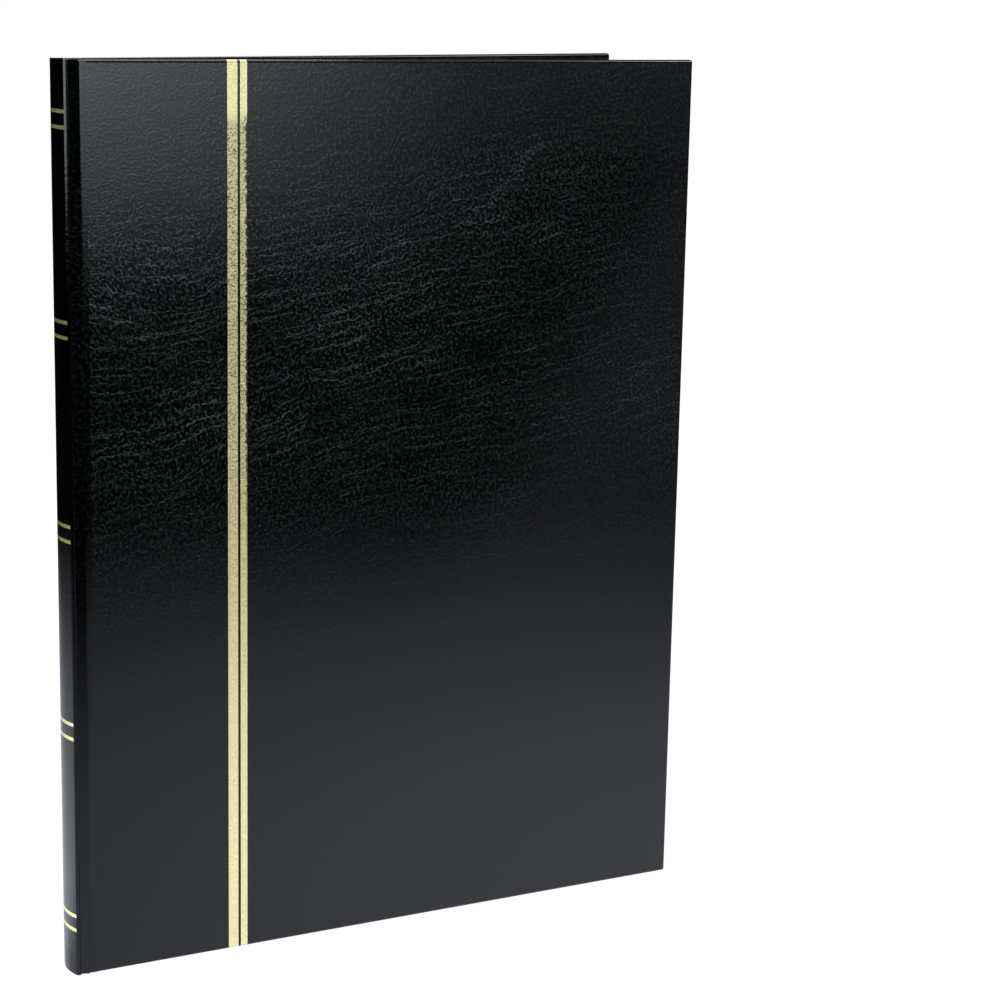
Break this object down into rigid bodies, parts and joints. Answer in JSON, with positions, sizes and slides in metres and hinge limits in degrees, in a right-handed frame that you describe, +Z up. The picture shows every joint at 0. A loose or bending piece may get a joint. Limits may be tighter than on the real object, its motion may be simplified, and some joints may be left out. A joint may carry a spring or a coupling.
{
  "type": "stamp album",
  "caption": "Black leatherette stockbook for stamps with gilt stripes, standing a little open; covers swing on grooved joints and card leaves with glassine strips turn with them.",
  "frame": {"origin": "middle of the footprint, on the surface that the album stands on", "axes": "+Z up along the spine, +X from the spine to the fore-edge, -Y out of the front cover"},
  "size_m": [0.23, 0.0572, 0.305],
  "materials": {
    "black_leatherette": "grained, satin",
    "gilt_foil": "hot-stamped pale gold foil",
    "grey_board": "grey bookbinding board",
    "pastedown_paper": "smooth uncoated",
    "page_card": "smooth white card",
    "glassine": "clear glassine strip",
    "interleaf_glassine": "translucent glassine sheet",
    "white_linen": "fine woven linen tape",
    "lining_paper": "plain lining paper"
  },
  "bodies": {
    "spine": {"spine_leatherette": "black_leatherette", "spine_foil_lines": "gilt_foil", "spine_board": "grey_board", "spine_lining": "lining_paper", "leaf_stubs": "lining_paper", "front_inner_hinge": "white_linen", "back_inner_hinge": "white_linen"},
    "front_cover": {"front_board": "grey_board", "front_leatherette": "black_leatherette", "front_pastedown": "pastedown_paper", "front_joint_leatherette": "black_leatherette", "front_foil_stripes": "gilt_foil"},
    "back_cover": {"back_board": "grey_board", "back_leatherette": "black_leatherette", "back_pastedown": "pastedown_paper", "back_joint_leatherette": "black_leatherette"},
    "leaf_1": {"leaf_1": "page_card", "linen_hinge_1": "white_linen", "front_strips_1": "glassine", "back_strips_1": "glassine"},
    "leaf_2": {"leaf_2": "page_card", "linen_hinge_2": "white_linen", "front_strips_2": "glassine", "back_strips_2": "glassine"},
    "leaf_3": {"leaf_3": "page_card", "linen_hinge_3": "white_linen", "front_strips_3": "glassine", "back_strips_3": "glassine"},
    "leaf_4": {"leaf_4": "page_card", "linen_hinge_4": "white_linen", "front_strips_4": "glassine", "back_strips_4": "glassine"},
    "leaf_5": {"leaf_5": "page_card", "linen_hinge_5": "white_linen", "front_strips_5": "glassine", "back_strips_5": "glassine"},
    "leaf_6": {"leaf_6": "page_card", "linen_hinge_6": "white_linen", "front_strips_6": "glassine", "back_strips_6": "glassine"},
    "leaf_7": {"leaf_7": "page_card", "linen_hinge_7": "white_linen", "front_strips_7": "glassine", "back_strips_7": "glassine"},
    "leaf_8": {"leaf_8": "page_card", "linen_hinge_8": "white_linen", "front_strips_8": "glassine", "back_strips_8": "glassine"},
    "interleaf_1": {"interleaf_1": "interleaf_glassine"},
    "interleaf_2": {"interleaf_2": "interleaf_glassine"},
    "interleaf_3": {"interleaf_3": "interleaf_glassine"},
    "interleaf_4": {"interleaf_4": "interleaf_glassine"},
    "interleaf_5": {"interleaf_5": "interleaf_glassine"},
    "interleaf_6": {"interleaf_6": "interleaf_glassine"},
    "interleaf_7": {"interleaf_7": "interleaf_glassine"}
  },
  "joints": [
    {"name": "front_cover_hinge", "type": "hinge", "parent": "spine", "child": "front_cover", "pos_m": [-0.1112, -0.02788, 0], "axis": [0, 0, -1], "range_deg": [0, 90], "deforming": ["front_joint_leatherette", "front_inner_hinge"]},
    {"name": "back_cover_hinge", "type": "hinge", "parent": "spine", "child": "back_cover", "pos_m": [-0.1112, -0.01328, 0], "axis": [0, 0, 1], "range_deg": [-10.5, 79.5], "deforming": ["back_joint_leatherette", "back_inner_hinge"]},
    {"name": "leaf_1_hinge", "type": "hinge", "parent": "spine", "child": "leaf_1", "pos_m": [-0.10578, -0.02478, 0], "axis": [0, 0, -1], "range_deg": [-0.01, 88.66]},
    {"name": "leaf_2_hinge", "type": "hinge", "parent": "spine", "child": "leaf_2", "pos_m": [-0.10488, -0.02358, 0], "axis": [0, 0, -1], "range_deg": [-0.01, 85.95]},
    {"name": "leaf_3_hinge", "type": "hinge", "parent": "spine", "child": "leaf_3", "pos_m": [-0.10398, -0.02238, 0], "axis": [0, 0, -1], "range_deg": [-0.01, 83.25]},
    {"name": "leaf_4_hinge", "type": "hinge", "parent": "spine", "child": "leaf_4", "pos_m": [-0.10308, -0.02118, 0], "axis": [0, 0, -1], "range_deg": [-0.01, 80.56]},
    {"name": "leaf_5_hinge", "type": "hinge", "parent": "spine", "child": "leaf_5", "pos_m": [-0.10308, -0.01998, 0], "axis": [0, 0, 1], "range_deg": [-9.4, 71.16]},
    {"name": "leaf_6_hinge", "type": "hinge", "parent": "spine", "child": "leaf_6", "pos_m": [-0.10398, -0.01878, 0], "axis": [0, 0, 1], "range_deg": [-9.72, 73.54]},
    {"name": "leaf_7_hinge", "type": "hinge", "parent": "spine", "child": "leaf_7", "pos_m": [-0.10488, -0.01758, 0], "axis": [0, 0, 1], "range_deg": [-10.03, 75.93]},
    {"name": "leaf_8_hinge", "type": "hinge", "parent": "spine", "child": "leaf_8", "pos_m": [-0.10578, -0.01638, 0], "axis": [0, 0, 1], "range_deg": [-10.35, 78.31]},
    {"name": "interleaf_1_hinge", "type": "hinge", "parent": "spine", "child": "interleaf_1", "pos_m": [-0.10533, -0.02418, 0], "axis": [0, 0, -1], "range_deg": [-0.01, 87.31]},
    {"name": "interleaf_2_hinge", "type": "hinge", "parent": "spine", "child": "interleaf_2", "pos_m": [-0.10443, -0.02298, 0], "axis": [0, 0, -1], "range_deg": [-0.01, 84.61]},
    {"name": "interleaf_3_hinge", "type": "hinge", "parent": "spine", "child": "interleaf_3", "pos_m": [-0.10353, -0.02178, 0], "axis": [0, 0, -1], "range_deg": [-0.01, 81.91]},
    {"name": "interleaf_4_hinge", "type": "hinge", "parent": "spine", "child": "interleaf_4", "pos_m": [-0.10263, -0.02058, 0], "axis": [0, 0, -1], "range_deg": [-0.01, 79.2]},
    {"name": "interleaf_5_hinge", "type": "hinge", "parent": "spine", "child": "interleaf_5", "pos_m": [-0.10353, -0.01938, 0], "axis": [0, 0, 1], "range_deg": [-9.56, 72.35]},
    {"name": "interleaf_6_hinge", "type": "hinge", "parent": "spine", "child": "interleaf_6", "pos_m": [-0.10443, -0.01818, 0], "axis": [0, 0, 1], "range_deg": [-9.88, 74.73]},
    {"name": "interleaf_7_hinge", "type": "hinge", "parent": "spine", "child": "interleaf_7", "pos_m": [-0.10533, -0.01698, 0], "axis": [0, 0, 1], "range_deg": [-10.19, 77.12]}
  ],
  "couplings": [
    {"joint": "leaf_1_hinge", "follows": "front_cover_hinge", "ratio": 0.985},
    {"joint": "leaf_2_hinge", "follows": "front_cover_hinge", "ratio": 0.955},
    {"joint": "leaf_3_hinge", "follows": "front_cover_hinge", "ratio": 0.925},
    {"joint": "leaf_4_hinge", "follows": "front_cover_hinge", "ratio": 0.895},
    {"joint": "leaf_5_hinge", "follows": "back_cover_hinge", "ratio": 0.895},
    {"joint": "leaf_6_hinge", "follows": "back_cover_hinge", "ratio": 0.925},
    {"joint": "leaf_7_hinge", "follows": "back_cover_hinge", "ratio": 0.955},
    {"joint": "leaf_8_hinge", "follows": "back_cover_hinge", "ratio": 0.985},
    {"joint": "interleaf_1_hinge", "follows": "front_cover_hinge", "ratio": 0.97},
    {"joint": "interleaf_2_hinge", "follows": "front_cover_hinge", "ratio": 0.94},
    {"joint": "interleaf_3_hinge", "follows": "front_cover_hinge", "ratio": 0.91},
    {"joint": "interleaf_4_hinge", "follows": "front_cover_hinge", "ratio": 0.88},
    {"joint": "interleaf_5_hinge", "follows": "back_cover_hinge", "ratio": 0.91},
    {"joint": "interleaf_6_hinge", "follows": "back_cover_hinge", "ratio": 0.94},
    {"joint": "interleaf_7_hinge", "follows": "back_cover_hinge", "ratio": 0.97}
  ]
}
